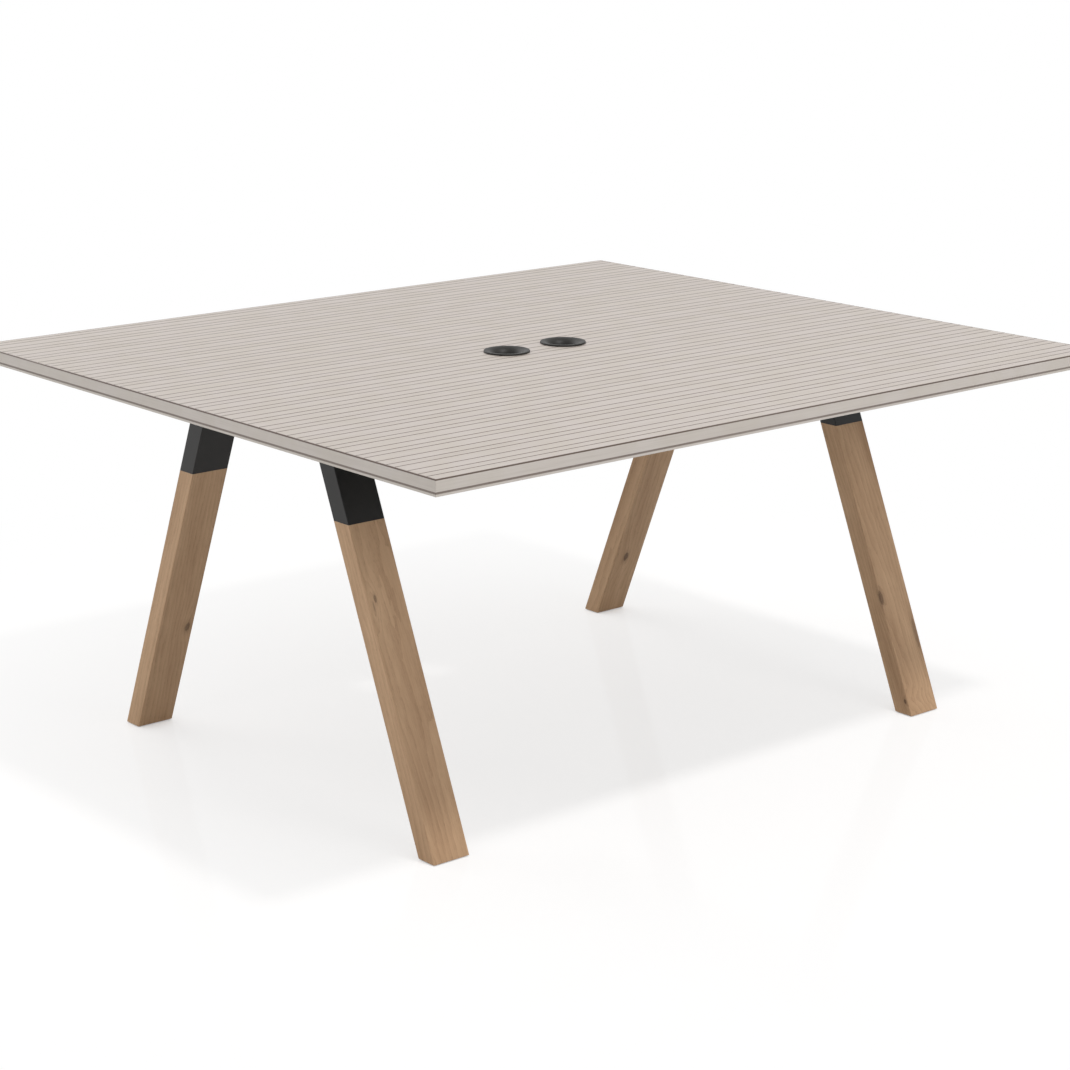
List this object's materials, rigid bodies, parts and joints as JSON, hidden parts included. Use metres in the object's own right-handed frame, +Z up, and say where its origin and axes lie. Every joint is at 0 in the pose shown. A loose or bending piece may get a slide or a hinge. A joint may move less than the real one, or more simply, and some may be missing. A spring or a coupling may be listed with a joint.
{
  "type": "double desk",
  "caption": "Double desk with a broad striped laminate top, cable ports in its middle, and splayed oak legs in black steel shoes on a steel frame.",
  "frame": {"origin": "on the floor under the middle of the top", "axes": "+X along the width to the right, +Y from the front to the back, +Z up"},
  "size_m": [1.6, 1.424, 0.7435],
  "materials": {
    "chipboard": "raw particle board",
    "striped_laminate": "matt decor laminate with fine dark lines",
    "backing_laminate": "matt plain laminate",
    "edge_plastic": "matt decor edge band",
    "port_plastic": "satin black moulding",
    "black_steel": "fine textured black powder coat",
    "cap_plastic": "black moulding",
    "oak": "oiled knotty oak",
    "foot_nylon": "grey moulding",
    "zinc_steel": "bright zinc plating",
    "insert_brass": "turned brass"
  },
  "bodies": {
    "desk": {"desktop_core": "chipboard", "decor_sheet": "striped_laminate", "backing_sheet": "backing_laminate", "edge_band_front": "edge_plastic", "edge_band_back": "edge_plastic", "edge_band_left": "edge_plastic", "edge_band_right": "edge_plastic", "cable_port_left": "port_plastic", "cable_port_right": "port_plastic", "cable_port_ring_left": "port_plastic", "cable_port_ring_right": "port_plastic", "crossbeam_left": "black_steel", "crossbeam_right": "black_steel", "rail_front": "black_steel", "rail_back": "black_steel", "leg_shoe_front_left": "black_steel", "leg_shoe_front_right": "black_steel", "leg_shoe_back_left": "black_steel", "leg_shoe_back_right": "black_steel", "beam_cap_front_left": "cap_plastic", "beam_cap_front_right": "cap_plastic", "beam_cap_back_left": "cap_plastic", "beam_cap_back_right": "cap_plastic", "leg_front_left": "oak", "leg_front_right": "oak", "leg_back_left": "oak", "leg_back_right": "oak", "draw_bolts": "zinc_steel", "shoe_bolts": "zinc_steel", "shoe_rivet_nuts": "zinc_steel", "rail_bolts": "zinc_steel", "rail_rivet_nuts": "zinc_steel", "top_bolts": "zinc_steel", "draw_inserts": "insert_brass", "leveller_inserts": "insert_brass", "core_inserts": "insert_brass"},
    "foot_front_left": {"leveller_foot_front_left": "foot_nylon", "leveller_stud_front_left": "zinc_steel"},
    "foot_front_right": {"leveller_foot_front_right": "foot_nylon", "leveller_stud_front_right": "zinc_steel"},
    "foot_back_left": {"leveller_foot_back_left": "foot_nylon", "leveller_stud_back_left": "zinc_steel"},
    "foot_back_right": {"leveller_foot_back_right": "foot_nylon", "leveller_stud_back_right": "zinc_steel"}
  },
  "joints": [
    {"name": "level_front_left", "type": "slide", "parent": "desk", "child": "foot_front_left", "axis": [0, 0, -1], "range_m": [0, 0.01]},
    {"name": "level_front_right", "type": "slide", "parent": "desk", "child": "foot_front_right", "axis": [0, 0, -1], "range_m": [0, 0.01]},
    {"name": "level_back_left", "type": "slide", "parent": "desk", "child": "foot_back_left", "axis": [0, 0, -1], "range_m": [0, 0.01]},
    {"name": "level_back_right", "type": "slide", "parent": "desk", "child": "foot_back_right", "axis": [0, 0, -1], "range_m": [0, 0.01]}
  ]
}
